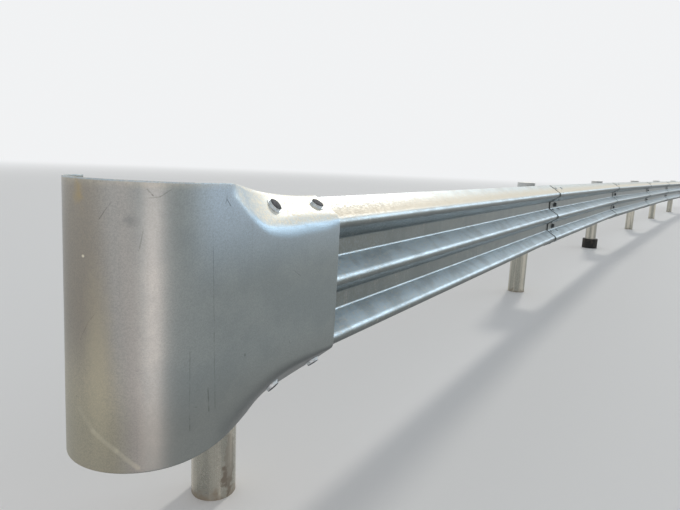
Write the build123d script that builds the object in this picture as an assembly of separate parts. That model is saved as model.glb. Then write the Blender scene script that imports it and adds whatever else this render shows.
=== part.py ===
from build123d import *
import math
import os

# A three-wave highway guardrail on round posts, with a rounded end terminal, in millimetres.
# +X runs along the row from the terminal, +Y points away from the road and +Z up.
# The origin is the centre of the first post's foot, on the ground.

# The row
bay_count = 6
bay_length = 4000
bay_turns = (1.3, 1.9, 0.1, 1.2, 1.0)
rail_centre_height = 750
rail_setback = 342

# The three-wave beam
plate = 4
lap_length = 320
crest_pitch = 193
wave_depth = 85
flank_angle = 57
crest_radius = 24
valley_radius = 12
outer_flank = 77
lap_gap = 0.3

# Holes for the lap bolts, in two columns on the flanks, and for the post bolts in the valleys
lap_hole_diameter = 20
lap_column_offset = 108
lap_hole_rise = 51
post_slot_width = 22
post_slot_length = 60

# The end terminal, whose nose stands taller than the rail and leans a little
terminal_plate = 4
terminal_top = 328
terminal_bottom = 326
terminal_rise = 6
terminal_lean = 1.3
terminal_end = 199
nose_radius = 184
nose_wrap = 163
nose_centre = -400
terminal_hole_offset = 40
fold_start_height = 44
fold_radius = 36
top_fold_start = -300
top_fold_length = 300
top_fold_quickness = 1.6
top_fold_radius = 80
top_crease_length = 190
top_crease_quickness = 1.6
top_crease_low = 205
top_crease_end = 217
top_recovery_length = 150
top_edge_delay = 1.25
top_edge_quickness = 2.4
top_edge_end = 278
top_end_radius = 45
bottom_fold_start = -385
bottom_fold_length = 400
bottom_crease_end = 210
bottom_edge_start = -150
bottom_edge_quickness = 1.2
bottom_edge_end = 293
bottom_end_radius = 22
fold_steps = 16

# Posts, post caps, block-outs and the collar
post_diameter = 150
post_wall = 4.5
post_rise_over_rail = 7.5
cap_wall = 2.5
cap_skirt = 38
cap_dome = 5
fit_gap = 0.3
block_width = 196
block_height = 400
block_wall = 4.5
block_front_width = 90
block_seat_width = 100
block_bolt_diameter = 20
collar_post = 3
collar_height = 142
collar_diameter = 216

# Derived sizes of the wave
slope = math.tan(math.radians(flank_angle))
mid_depth = wave_depth - plate
crest_mid_radius = crest_radius - plate / 2
crest_overshoot = crest_mid_radius / math.cos(math.radians(flank_angle)) - crest_mid_radius
flank_height = (mid_depth + crest_overshoot) / slope
flank_reach = outer_flank * slope - crest_overshoot
half_rail = crest_pitch + outer_flank
lap_side = lap_length / 2
panel_length = bay_length + lap_length
post_radius = post_diameter / 2
post_height = rail_centre_height + half_rail + post_rise_over_rail

flank_shift = (plate + lap_gap) / math.cos(math.radians(flank_angle))
lean_slope = math.tan(math.radians(terminal_lean))

# Plan of the rail line, a chain of equal chords that turns towards the road at the posts
headings = [0]
for bay in range(1, bay_count):
    headings.append(headings[-1] - bay_turns[(bay - 1) % len(bay_turns)])
rail_points = [(0, -rail_setback)]
for heading in headings:
    bend = math.radians(heading)
    last = rail_points[-1]
    rail_points.append((last[0] + bay_length * math.cos(bend), last[1] + bay_length * math.sin(bend)))


def direction(start, end):
    """Unit vector from one plan or section point to another."""
    run = math.hypot(end[0] - start[0], end[1] - start[1])
    return ((end[0] - start[0]) / run, (end[1] - start[1]) / run)


def offset_path(points, radii, amount):
    """Corners and radii of a path moved to its left by amount."""
    moved = []
    new_radii = []
    for index, point in enumerate(points):
        before = direction(points[max(index - 1, 0)], points[max(index, 1)])
        after = direction(points[min(index, len(points) - 2)], points[min(index + 1, len(points) - 1)])
        normals = ((-before[1], before[0]), (-after[1], after[0]))
        share = 1 + normals[0][0] * normals[1][0] + normals[0][1] * normals[1][1]
        moved.append(tuple(point[k] + amount * (normals[0][k] + normals[1][k]) / share for k in (0, 1)))
        if 0 < index < len(points) - 1:
            side = before[0] * after[1] - before[1] * after[0]
            new_radii.append(radii[index - 1] - amount * math.copysign(1, side))
    return moved, new_radii


def rounded_edges(points, radii):
    """Lines and arcs through the corners; a corner without a turn gets a short straight run."""
    edges = []
    last = points[0]
    for index, radius in enumerate(radii):
        before, corner, after = points[index:index + 3]
        into = direction(before, corner)
        out = direction(corner, after)
        turned = math.atan2(into[0] * out[1] - into[1] * out[0], into[0] * out[0] + into[1] * out[1])
        reach = max(radius * math.tan(abs(turned) / 2), 0.5)
        first = (corner[0] - into[0] * reach, corner[1] - into[1] * reach)
        second = (corner[0] + out[0] * reach, corner[1] + out[1] * reach)
        edges.append(Line(last, first))
        if abs(turned) < 0.002:
            edges.append(Line(first, second))
        else:
            true_radius = reach / math.tan(abs(turned) / 2)
            bisector = direction((0, 0), (out[0] - into[0], out[1] - into[1]))
            rise = true_radius / math.cos(turned / 2) - true_radius
            middle = (corner[0] + bisector[0] * rise, corner[1] + bisector[1] * rise)
            edges.append(ThreePointArc(first, middle, second))
        last = second
    edges.append(Line(last, points[-1]))
    return edges


def strip(points, radii, thickness):
    """Face of a bent plate whose middle line runs through the given corners."""
    left, left_radii = offset_path(points, radii, thickness / 2)
    right, right_radii = offset_path(points, radii, -thickness / 2)
    edges = rounded_edges(left, left_radii)
    edges += [Line(left[-1], right[-1])]
    edges += rounded_edges(right, right_radii)
    edges += [Line(right[0], left[0])]
    return make_face(edges)


def wave_path():
    """Middle line of the beam, as (depth, height) from the front of the middle crest."""
    front = plate / 2
    back = front + mid_depth
    edge = front + flank_reach
    apex = front - crest_overshoot
    points = [(edge, -half_rail), (apex, -crest_pitch)]
    points += [(back, flank_height - crest_pitch), (back, -flank_height), (apex, 0)]
    points += [(back, flank_height), (back, crest_pitch - flank_height)]
    points += [(apex, crest_pitch), (edge, half_rail)]
    radii = [crest_mid_radius, valley_radius, valley_radius] * 2 + [crest_mid_radius]
    return points, radii


def station_heading(index):
    """Heading of the row at a post, halfway between the beams that meet there."""
    beside = headings[max(index - 1, 0):index + 1]
    return sum(beside) / len(beside)


def row_point(index, distance):
    """Plan point at a post's station, the distance measured from the rail line towards the posts."""
    bend = math.radians(station_heading(index))
    start = rail_points[index]
    return (start[0] - distance * math.sin(bend), start[1] + distance * math.cos(bend))


def station(index, distance):
    """Frame at a post's station, +X along the row and +Y away from the road."""
    place = row_point(index, distance)
    return Location((place[0], place[1], 0), (0, 0, station_heading(index)))


def lap_shift(index):
    """Depth between the beams lapped at a post, enough for their flanks to clear over the whole lap."""
    beside = headings[max(index - 1, 0):index + 1]
    return flank_shift + lap_side * math.tan(math.radians(max(beside) - min(beside)))


def panel_frame(index):
    """Frame of one beam, from the lap at its near post to the lap at its far post."""
    start = row_point(index, lap_shift(index) / 2 * (1 if index == 0 else -1))
    end = row_point(index + 1, lap_shift(index + 1) / 2)
    heading = math.degrees(math.atan2(end[1] - start[1], end[0] - start[0]))
    return Location((start[0], start[1], rail_centre_height), (0, 0, heading))


def panel_behind(index):
    """Heading of the beam that lies on a post's block-out, and its back's distance from the post."""
    frame = panel_frame(max(index - 1, 0))
    heading = frame.orientation.Z
    place = row_point(index, rail_setback)
    across = Vector(0, 1).rotate(Axis.Z, heading)
    reach = (Vector(place[0], place[1]) - Vector(frame.position.X, frame.position.Y)).dot(across)
    return heading, reach - wave_depth


def flank_holes(along, diameter):
    """Cutters square to the six flanks at one place along the beam."""
    cutters = []
    for crest in (-crest_pitch, 0, crest_pitch):
        for side in (-1, 1):
            height = crest + side * lap_hole_rise
            depth = lap_hole_rise * slope - crest_overshoot + plate / 2
            place = Location((along, depth, height), (side * (90 - flank_angle), 0, 0))
            cutters.append(place * Cylinder(diameter / 2, 8 * plate))
    return cutters


def post_slots(along):
    """Cutters for the two post bolts, one in each valley."""
    cutters = []
    for height in (-crest_pitch / 2, crest_pitch / 2):
        slot = extrude(SlotOverall(post_slot_length, post_slot_width), 2 * plate, both=True)
        cutters.append(Location((along, wave_depth, height), (90, 0, 0)) * slot)
    return cutters


def beam(index):
    """One pressed three-wave beam with its lap holes."""
    points, radii = wave_path()
    section = Plane(origin=(-lap_side, 0, 0), x_dir=(0, 1, 0), z_dir=(1, 0, 0)) * strip(points, radii, plate)
    panel = extrude(section, panel_length)
    near_offset = terminal_hole_offset if index == 0 else 0
    cutters = post_slots(0) + post_slots(bay_length)
    for column in (-lap_column_offset, lap_column_offset):
        cutters += flank_holes(column + near_offset, lap_hole_diameter)
        cutters += flank_holes(bay_length + column, lap_hole_diameter)
    return panel_frame(index) * (panel - cutters)


def eased(share):
    """Share between 0 and 1, easing in and out."""
    share = min(max(share, 0), 1)
    return share * share * (3 - 2 * share)


def slowing(share, quickness):
    """Share between 0 and 1, quick at first and slow at the end."""
    return 1 - (1 - min(max(share, 0), 1)) ** quickness


def between(start, end, share):
    """Value at a share of the way from start to end."""
    return start + (end - start) * share


def fold_section(along, side):
    """Corners and bend radius of the terminal's upper or lower half at one place along the row."""
    tightening = min(max(along / terminal_end, 0), 1) ** 2
    if side > 0:
        done = along - top_fold_start
        swing = slowing(done / top_fold_length, top_fold_quickness)
        crease_drop = slowing(done / top_crease_length, top_crease_quickness)
        crease = between(terminal_top - fold_start_height, top_crease_low, crease_drop)
        recovery = eased((done - top_crease_length) / top_recovery_length)
        crease += (top_crease_end - top_crease_low) * recovery
        edge_share = (done / (terminal_end - top_fold_start)) ** top_edge_delay
        edge = between(terminal_top, top_edge_end, slowing(edge_share, top_edge_quickness))
        radius = between(between(fold_radius, top_fold_radius, recovery), top_end_radius, tightening)
    else:
        swing = eased((along - bottom_fold_start) / bottom_fold_length)
        crease = between(terminal_bottom - fold_start_height, bottom_crease_end, swing)
        done = along - bottom_edge_start
        edge_drop = slowing(done / (terminal_end - bottom_edge_start), bottom_edge_quickness)
        edge = between(terminal_bottom, bottom_edge_end, edge_drop)
        radius = between(fold_radius, bottom_end_radius, tightening)
    front = terminal_plate / 2
    back = front + flank_reach * swing
    return [(front, 0), (front, side * crease), (back, side * edge)], [radius]


def terminal_fold(side):
    """Upper or lower half of the terminal's front, folding back over the beam's outer flank."""
    start = top_fold_start if side > 0 else bottom_fold_start
    places = [start + (terminal_end - start) * step / fold_steps for step in range(fold_steps + 1)]
    faces = []
    for along in places:
        points, radii = fold_section(along, side)
        plane = Plane(origin=(along, 0, 0), x_dir=(0, 1, 0), z_dir=(1, 0, -lean_slope))
        faces.append(plane * strip(points, radii, terminal_plate))
    return loft(faces, ruled=True)


def nose():
    """Wrapped nose with the flat front beside it, leaning a little, cut off at the folds."""
    straight = 2 * (top_fold_start - nose_centre)
    outer = CenterArc((0, nose_radius), nose_radius, -90, -nose_wrap)
    inner = CenterArc((0, nose_radius), nose_radius - terminal_plate, -90, -nose_wrap)
    back_edge = Line(outer @ 1, inner @ 1)
    front_edges = [Line(outer @ 0, (straight, 0)), Line((straight, 0), (straight, terminal_plate))]
    front_edges.append(Line((straight, terminal_plate), inner @ 0))
    plan = Pos(nose_centre, 0, 0) * make_face([outer, inner, back_edge] + front_edges)
    tall = 2 * (terminal_top + terminal_rise)
    wrapped = extrude(plan, tall, dir=(lean_slope, 0, 1), both=True)
    far_left = nose_centre - 2 * nose_radius
    rise = terminal_rise * (top_fold_start - far_left) / (top_fold_start - nose_centre + nose_radius)
    lean_scale = math.hypot(1, lean_slope)
    top = terminal_top / lean_scale
    bottom = terminal_bottom / lean_scale
    outline = Polyline(
        (far_left, -bottom),
        (bottom_fold_start - bottom * lean_slope, -bottom),
        (bottom_fold_start, 0),
        (top_fold_start, 0),
        (top_fold_start + top * lean_slope, top),
        (far_left, top + rise),
        close=True,
    )
    window = Plane.XZ * make_face(outline)
    return wrapped & extrude(window, 4 * nose_radius, both=True)


def end_terminal():
    """Wrapped nose and flat front with flanks folded over the first beam."""
    solid = nose() + terminal_fold(-1) + terminal_fold(1)
    cutters = []
    for column in (-lap_column_offset, lap_column_offset):
        holes = flank_holes(terminal_hole_offset + column, lap_hole_diameter)
        cutters += [holes[0], holes[-1]]
    front = row_point(0, lap_shift(0) / 2 - flank_shift)
    frame = Location((front[0], front[1], rail_centre_height), panel_frame(0).orientation)
    return frame * (solid - cutters)


def post(index):
    """Round tube post, closed at the ground."""
    tube = Cylinder(post_radius, post_height, align=(Align.CENTER, Align.CENTER, Align.MIN))
    bore = Cylinder(post_radius - post_wall, post_height, align=(Align.CENTER, Align.CENTER, Align.MIN))
    return station(index, rail_setback) * (tube - Pos(0, 0, post_wall) * bore)


def post_cap(index):
    """Domed cap with a skirt round the top of the post."""
    outer = post_radius + fit_gap + cap_wall
    upright = (Align.CENTER, Align.CENTER, Align.MIN)
    skirt = Cylinder(outer, cap_skirt + cap_wall, align=upright)
    room = Cylinder(post_radius + fit_gap, cap_skirt, align=upright)
    ball_radius = (outer ** 2 + cap_dome ** 2) / (2 * cap_dome)
    ball = Pos(0, 0, cap_skirt + cap_wall + cap_dome - ball_radius) * Sphere(ball_radius)
    crown = Pos(0, 0, cap_skirt + cap_wall) * Cylinder(outer, cap_dome, align=upright)
    dome = ball & crown
    place = station(index, rail_setback) * Pos(0, 0, post_height - cap_skirt)
    return place * (skirt - room + dome)


def block_out(index):
    """Six-sided tube between the post and the beam's valleys, with a seat rolled to the post."""
    heading, front = panel_behind(index)
    seat = post_radius + fit_gap
    back = math.sqrt(seat ** 2 - (block_seat_width / 2) ** 2)
    middle = (front + back) / 2
    half_front = block_front_width / 2
    half_wide = block_width / 2
    half_seat = block_seat_width / 2
    outline = [(half_front, -front), (half_wide, -middle), (half_seat, -back), (-half_seat, -back)]
    outline += [(-half_wide, -middle), (-half_front, -front)]
    shell = make_face(Polyline(*outline, close=True))
    hollow = offset(shell, -block_wall, kind=Kind.INTERSECTION)
    inner_seat = Circle(seat + block_wall)
    hollow = hollow - inner_seat
    wall = extrude(shell - hollow - Circle(seat), block_height / 2, both=True)
    bolts = []
    for height in (-crest_pitch / 2, crest_pitch / 2):
        drill = Cylinder(block_bolt_diameter / 2, 4 * block_wall)
        bolts.append(Location((0, -front, height), (90, 0, 0)) * drill)
    centre = row_point(index, rail_setback)
    return Location((centre[0], centre[1], rail_centre_height), (0, 0, heading)) * (wall - bolts)


def collar(index):
    """Thick ring round the foot of one post."""
    ring = Cylinder(collar_diameter / 2, collar_height, align=(Align.CENTER, Align.CENTER, Align.MIN))
    room = Cylinder(post_radius + fit_gap, collar_height, align=(Align.CENTER, Align.CENTER, Align.MIN))
    return station(index, rail_setback) * (ring - room)


def save(solid, name):
    """One STEP file for one piece."""
    solid.label = name
    export_step(solid, f"parts/{name}.step")


os.makedirs("parts", exist_ok=True)
save(end_terminal(), "end_terminal")
for bay in range(bay_count):
    save(beam(bay), f"beam_{bay + 1}")
for place in range(bay_count + 1):
    save(post(place), f"post_{place + 1}")
    save(post_cap(place), f"post_cap_{place + 1}")
    save(block_out(place), f"block_out_{place + 1}")
save(collar(collar_post - 1), f"foot_collar_{collar_post}")
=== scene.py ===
import math
import bpy
from mathutils import Matrix, Vector
from mathutils.bvhtree import BVHTree


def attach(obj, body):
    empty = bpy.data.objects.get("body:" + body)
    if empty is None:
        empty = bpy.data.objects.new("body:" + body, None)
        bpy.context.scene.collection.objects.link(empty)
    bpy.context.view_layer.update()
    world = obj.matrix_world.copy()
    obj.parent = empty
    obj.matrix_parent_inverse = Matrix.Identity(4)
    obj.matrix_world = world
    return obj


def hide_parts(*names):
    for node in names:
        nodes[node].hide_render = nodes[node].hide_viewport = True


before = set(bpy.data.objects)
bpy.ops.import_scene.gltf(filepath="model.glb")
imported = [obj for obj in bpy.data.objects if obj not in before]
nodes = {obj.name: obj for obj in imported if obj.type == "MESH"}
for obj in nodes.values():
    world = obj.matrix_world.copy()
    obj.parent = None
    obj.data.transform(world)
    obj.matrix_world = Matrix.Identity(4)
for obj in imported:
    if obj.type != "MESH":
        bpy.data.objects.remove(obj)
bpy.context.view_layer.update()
print("frame loaded,", len(nodes), "nodes")

# plan of the row and section of the beam, in metres and degrees, as the solids have them
row = {
    "bays": 6, "bayLength": 4.0, "turns": (1.3, 1.9, 0.1, 1.2, 1.0), "railHeight": 0.75, "setback": 0.342,
    "plate": 0.004, "lapGap": 0.0003, "lapSide": 0.16, "crestPitch": 0.193, "waveDepth": 0.085,
    "flankAngle": 57, "crestRadius": 0.024, "outerFlank": 0.077, "lapColumn": 0.108, "holeRise": 0.051,
    "postRadius": 0.075, "blockWall": 0.0045, "terminalHole": 0.040,
}
slope = math.tan(math.radians(row["flankAngle"]))
midDepth = row["waveDepth"] - row["plate"]
crestRound = row["crestRadius"] - row["plate"] / 2
crestOver = crestRound / math.cos(math.radians(row["flankAngle"])) - crestRound
edgeDepth = row["outerFlank"] * slope - crestOver
flankShift = (row["plate"] + row["lapGap"]) / math.cos(math.radians(row["flankAngle"]))
headings = [0.0]
for bay in range(1, row["bays"]):
    headings.append(headings[-1] - row["turns"][bay - 1])
railPoints = [Vector((0, -row["setback"], 0))]
for heading in headings:
    bend = math.radians(heading)
    railPoints.append(railPoints[-1] + row["bayLength"] * Vector((math.cos(bend), math.sin(bend), 0)))


def postHeading(index):
    beside = headings[max(index - 1, 0):index + 1]
    return math.radians(sum(beside) / len(beside))


def rowPoint(index, distance):
    bend = postHeading(index)
    return railPoints[index] + distance * Vector((-math.sin(bend), math.cos(bend), 0))


def lapShift(index):
    beside = headings[max(index - 1, 0):index + 1]
    return flankShift + row["lapSide"] * math.tan(math.radians(max(beside) - min(beside)))


def panelFrame(index):
    start = rowPoint(index, lapShift(index) / 2 * (1 if index == 0 else -1))
    end = rowPoint(index + 1, lapShift(index + 1) / 2)
    turn = math.atan2(end.y - start.y, end.x - start.x)
    return Matrix.Translation((start.x, start.y, row["railHeight"])) @ Matrix.Rotation(turn, 4, "Z")


def terminalFrame():
    start = rowPoint(0, lapShift(0) / 2 - flankShift)
    turn = panelFrame(0).to_euler().z
    return Matrix.Translation((start.x, start.y, row["railHeight"])) @ Matrix.Rotation(turn, 4, "Z")


# small helpers

def newObject(name, data):
    made = bpy.data.objects.new(name, data)
    bpy.context.scene.collection.objects.link(made)
    return made


def tone(red, green, blue):
    def linear(value):
        value = value / 255
        return value / 12.92 if value <= 0.04045 else ((value + 0.055) / 1.055) ** 2.4
    return (linear(red), linear(green), linear(blue), 1)


def setSockets(tree, node, values):
    for key, value in values.items():
        if isinstance(value, bpy.types.NodeSocket):
            tree.links.new(value, node.inputs[key])
        else:
            node.inputs[key].default_value = value


def addNode(tree, kind, values=None, **settings):
    node = tree.nodes.new(kind)
    for key, value in settings.items():
        setattr(node, key, value)
    setSockets(tree, node, values or {})
    return node


def calc(tree, operation, first, second=0.0, clamp=False):
    return addNode(tree, "ShaderNodeMath", {0: first, 1: second}, operation=operation, use_clamp=clamp).outputs[0]


def times(tree, first, second):
    return calc(tree, "MULTIPLY", first, second)


def vectorCalc(tree, operation, first, second):
    return addNode(tree, "ShaderNodeVectorMath", {0: first, 1: second}, operation=operation).outputs[0]


def vectorValue(tree, operation, first, second=(0, 0, 0)):
    return addNode(tree, "ShaderNodeVectorMath", {0: first, 1: second}, operation=operation).outputs["Value"]


def scaleVector(tree, vector, factor):
    return addNode(tree, "ShaderNodeVectorMath", {0: vector, "Scale": factor}, operation="SCALE").outputs[0]


def axesOf(tree, vector):
    return addNode(tree, "ShaderNodeSeparateXYZ", {0: vector}).outputs


def objectPlace(tree):
    return addNode(tree, "ShaderNodeTexCoord").outputs["Object"]


def blend(tree, factor, first, second):
    return addNode(tree, "ShaderNodeMix", {0: factor, 6: first, 7: second}, data_type="RGBA").outputs[2]


def remap(tree, value, low, high, outLow=0.0, outHigh=1.0):
    values = {"Value": value, "From Min": low, "From Max": high, "To Min": outLow, "To Max": outHigh}
    return addNode(tree, "ShaderNodeMapRange", values, interpolation_type="SMOOTHSTEP").outputs["Result"]


def noise(tree, vector, scale, detail=3.0, roughness=0.55):
    values = {"Vector": vector, "Scale": scale, "Detail": detail, "Roughness": roughness}
    return addNode(tree, "ShaderNodeTexNoise", values).outputs["Fac"]


def wander(tree, place, scale, detail):
    warp = addNode(tree, "ShaderNodeTexNoise", {"Vector": place, "Scale": scale, "Detail": detail}).outputs["Color"]
    return vectorCalc(tree, "SUBTRACT", warp, (0.5, 0.5, 0.5))


def newGroup(name, inputs, outputs):
    tree = bpy.data.node_groups.new(name, "ShaderNodeTree")
    for label, kind, default in inputs:
        socket = tree.interface.new_socket(name=label, in_out="INPUT", socket_type=kind)
        socket.default_value = default
    for label, kind in outputs:
        tree.interface.new_socket(name=label, in_out="OUTPUT", socket_type=kind)
    return tree, tree.nodes.new("NodeGroupInput").outputs, tree.nodes.new("NodeGroupOutput").inputs


def useGroup(tree, group, values=None):
    return addNode(tree, "ShaderNodeGroup", values, node_tree=group).outputs


# shared surface effects

effects = {
    "grainScale": 900.0, "cloudScale": 7.0, "speckWarpScale": 130.0, "speckWarp": 0.008, "spotWarpScale": 45.0,
    "scratchWarpScale": 14.0, "scratchWearScale": 70.0,
}


def zincGrainGroup():
    tree, given, out = newGroup("zincGrain", [
        ("Crystal Scale", "NodeSocketFloat", 140.0),
    ], [("Crystals", "NodeSocketFloat"), ("Grain", "NodeSocketFloat"), ("Clouds", "NodeSocketFloat")])
    place = objectPlace(tree)
    cells = addNode(tree, "ShaderNodeTexVoronoi", {"Vector": place, "Scale": given["Crystal Scale"]})
    cellTone = addNode(tree, "ShaderNodeSeparateColor", {0: cells.outputs["Color"]}).outputs[0]
    fine = noise(tree, place, effects["grainScale"], 2.0)
    clouds = noise(tree, place, effects["cloudScale"], 5.0, 0.6)
    tree.links.new(cellTone, out["Crystals"])
    tree.links.new(fine, out["Grain"])
    tree.links.new(clouds, out["Clouds"])
    return tree


def facingGroup():
    tree, given, out = newGroup("facing", [("Edge", "NodeSocketFloat", 0.5)],
                                [("Up", "NodeSocketFloat"), ("Down", "NodeSocketFloat")])
    normal = addNode(tree, "ShaderNodeNewGeometry").outputs["Normal"]
    height = axesOf(tree, normal)["Z"]
    up = remap(tree, height, 0.0, given["Edge"])
    down = remap(tree, times(tree, height, -1.0), 0.0, given["Edge"])
    tree.links.new(up, out["Up"])
    tree.links.new(down, out["Down"])
    return tree


def specksGroup():
    tree, given, out = newGroup("specks", [
        ("Scale", "NodeSocketFloat", 60.0), ("Size", "NodeSocketFloat", 0.12), ("Share", "NodeSocketFloat", 0.2),
    ], [("Mask", "NodeSocketFloat")])
    place = objectPlace(tree)
    values = {"Vector": place, "Scale": effects["speckWarpScale"], "Detail": 2.0}
    warp = addNode(tree, "ShaderNodeTexNoise", values).outputs["Color"]
    place = vectorCalc(tree, "ADD", place, vectorCalc(tree, "MULTIPLY", warp, (effects["speckWarp"],) * 3))
    cells = addNode(tree, "ShaderNodeTexVoronoi", {"Vector": place, "Scale": given["Scale"]})
    pick = addNode(tree, "ShaderNodeSeparateColor", {0: cells.outputs["Color"]}).outputs[1]
    chosen = calc(tree, "LESS_THAN", pick, given["Share"])
    dot = remap(tree, cells.outputs["Distance"], given["Size"], times(tree, given["Size"], 0.5))
    tree.links.new(times(tree, chosen, dot), out["Mask"])
    return tree


def streaksGroup():
    tree, given, out = newGroup("streaks", [
        ("Across", "NodeSocketFloat", 60.0), ("Along", "NodeSocketFloat", 2.0), ("Low", "NodeSocketFloat", 0.55),
    ], [("Mask", "NodeSocketFloat")])
    place = objectPlace(tree)
    squeeze = addNode(tree, "ShaderNodeCombineXYZ", {"X": given["Across"], "Y": given["Across"], "Z": given["Along"]})
    lines = noise(tree, vectorCalc(tree, "MULTIPLY", place, squeeze.outputs[0]), 1.0, 4.0)
    tree.links.new(remap(tree, lines, given["Low"], calc(tree, "ADD", given["Low"], 0.2)), out["Mask"])
    return tree


def spotGroup():
    tree, given, out = newGroup("softSpot", [
        ("Centre", "NodeSocketVector", (0, 0, 0)), ("Size", "NodeSocketVector", (0.1, 0.1, 0.1)),
        ("Softness", "NodeSocketFloat", 0.6), ("Ragged", "NodeSocketFloat", 0.0),
    ], [("Mask", "NodeSocketFloat")])
    place = objectPlace(tree)
    warp = wander(tree, place, effects["spotWarpScale"], 4.0)
    away = vectorCalc(tree, "DIVIDE", vectorCalc(tree, "SUBTRACT", place, given["Centre"]), given["Size"])
    away = vectorCalc(tree, "ADD", away, scaleVector(tree, warp, given["Ragged"]))
    length = vectorValue(tree, "LENGTH", away)
    inner = calc(tree, "SUBTRACT", 1.0, given["Softness"])
    tree.links.new(remap(tree, length, 1.0, inner), out["Mask"])
    return tree


def scratchAndGlintGroup():
    tree, given, out = newGroup("scratchAndGlint", [
        ("Start", "NodeSocketVector", (0, 0, 0)), ("End", "NodeSocketVector", (0, 0, 1)),
        ("Width", "NodeSocketFloat", 0.001), ("Wander", "NodeSocketFloat", 0.004), ("Worn", "NodeSocketFloat", 0.25),
    ], [("Mask", "NodeSocketFloat")])
    place = objectPlace(tree)
    warp = scaleVector(tree, wander(tree, place, effects["scratchWarpScale"], 3.0), given["Wander"])
    away = vectorCalc(tree, "SUBTRACT", vectorCalc(tree, "ADD", place, warp), given["Start"])
    run = vectorCalc(tree, "SUBTRACT", given["End"], given["Start"])
    along = vectorValue(tree, "DOT_PRODUCT", away, run)
    whole = vectorValue(tree, "DOT_PRODUCT", run, run)
    share = calc(tree, "DIVIDE", along, whole, clamp=True)
    gap = vectorValue(tree, "DISTANCE", away, scaleVector(tree, run, share))
    line = remap(tree, gap, given["Width"], times(tree, given["Width"], 0.3))
    broken = remap(tree, noise(tree, place, effects["scratchWearScale"], 3.0), 0.36, 0.56, given["Worn"], 1.0)
    tree.links.new(times(tree, line, broken), out["Mask"])
    return tree


zincGrain = zincGrainGroup()
facing = facingGroup()
specks = specksGroup()
streaks = streaksGroup()
softSpot = spotGroup()
scratchAndGlint = scratchAndGlintGroup()
print("surface effects built")


def newMaterial(name):
    material = bpy.data.materials.new(name)
    material.use_nodes = True
    tree = material.node_tree
    tree.nodes.clear()
    shader = tree.nodes.new("ShaderNodeBsdfPrincipled")
    ending = tree.nodes.new("ShaderNodeOutputMaterial")
    tree.links.new(shader.outputs[0], ending.inputs["Surface"])
    return material, tree, shader


def bumpNormal(tree, height, strength, distance):
    return addNode(tree, "ShaderNodeBump", {"Height": height, "Strength": strength, "Distance": distance}).outputs[0]


# weathered zinc, with painted shade, highlights and reflections; places and heights in metres, shares and strengths
# from 0 to 1

railFinish = {
    "base": tone(123, 127, 123), "blue": tone(184, 203, 214), "crystal": tone(198, 212, 219),
    "dull": tone(106, 112, 112), "dust": tone(218, 210, 192), "downShade": tone(78, 86, 88), "speck": tone(70, 66, 58),
    "metallic": 0.88, "rough": 0.37, "roughSpread": (-0.08, 0.1), "grainRough": 0.06, "bump": 0.28,
    "bumpHeight": 0.0006, "crystalScale": 210.0, "levelEdge": 0.6, "spangle": 0.15, "spangleUpHighlight": 0.45,
    "specks": {"Scale": 34.0, "Size": 0.1, "Share": 0.12}, "streaks": {"Across": 26.0, "Along": 5.0, "Low": 0.52},
    "cloudShare": 0.3, "downShadeShare": 0.7, "speckShare": 0.7, "dullFrom": 1.5, "dullTo": 11.0, "dullShare": 0.5,
    "filmBottom": 0.953, "filmFull": 0.97, "filmTop": 1.015, "filmThin": 0.3, "filmThick": 0.95,
    "dustScale": 90.0, "dustShare": 0.4, "dustMetal": 0.5, "dustRough": 0.25,
}


def railMaterial():
    look = railFinish
    material, tree, shader = newMaterial("railZinc")
    grain = useGroup(tree, zincGrain, {"Crystal Scale": look["crystalScale"]})
    face = useGroup(tree, facing, {"Edge": look["levelEdge"]})
    dots = useGroup(tree, specks, look["specks"])
    lines = useGroup(tree, streaks, look["streaks"])
    place = objectPlace(tree)
    axes = axesOf(tree, place)
    height = axes["Z"]
    # up-facing faces turn bluish, a painted sky reflection, and get more pale spangle, a painted highlight over the
    # real spangle
    colour = blend(tree, face["Up"], look["base"], look["blue"])
    spangle = calc(tree, "ADD", times(tree, face["Up"], look["spangleUpHighlight"]), look["spangle"])
    spangle = times(tree, remap(tree, grain["Crystals"], 0.25, 1.0), spangle)
    colour = blend(tree, spangle, colour, look["crystal"])
    clouds = remap(tree, grain["Clouds"], 0.42, 0.62, 0.0, look["cloudShare"])
    colour = blend(tree, clouds, colour, look["dull"])
    # down-facing faces are darkened: painted shade
    colour = blend(tree, times(tree, face["Down"], look["downShadeShare"]), colour, look["downShade"])
    farther = remap(tree, axes["X"], look["dullFrom"], look["dullTo"], 0.0, look["dullShare"])
    colour = blend(tree, farther, colour, look["dull"])
    # pale film on the top flank and dust on up-facing faces: partly real dust, partly painted highlight
    topFilmAndHighlight = remap(tree, height, look["filmTop"], look["filmFull"], look["filmThin"], look["filmThick"])
    topFilmAndHighlight = times(tree, remap(tree, height, look["filmBottom"], look["filmFull"]), topFilmAndHighlight)
    settled = remap(tree, noise(tree, place, look["dustScale"], 6.0, 0.7), 0.47, 0.66, 0.0, look["dustShare"])
    settled = calc(tree, "ADD", settled, topFilmAndHighlight, clamp=True)
    dustAndHighlight = times(tree, settled, calc(tree, "ADD", face["Up"], lines["Mask"], clamp=True))
    colour = blend(tree, dustAndHighlight, colour, look["dust"])
    colour = blend(tree, times(tree, dots["Mask"], look["speckShare"]), colour, look["speck"])
    metal = calc(tree, "SUBTRACT", look["metallic"], times(tree, dustAndHighlight, look["dustMetal"]), clamp=True)
    low, high = (look["rough"] + change for change in look["roughSpread"])
    rough = remap(tree, grain["Crystals"], 0.0, 1.0, low, high)
    rough = calc(tree, "ADD", rough, times(tree, dustAndHighlight, look["dustRough"]))
    rough = calc(tree, "ADD", rough, times(tree, grain["Grain"], look["grainRough"]))
    relief = calc(tree, "ADD", times(tree, grain["Crystals"], 0.5), grain["Grain"])
    setSockets(tree, shader, {"Base Color": colour, "Metallic": metal, "Roughness": rough,
                              "Normal": bumpNormal(tree, relief, look["bump"], look["bumpHeight"])})
    return material


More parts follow.
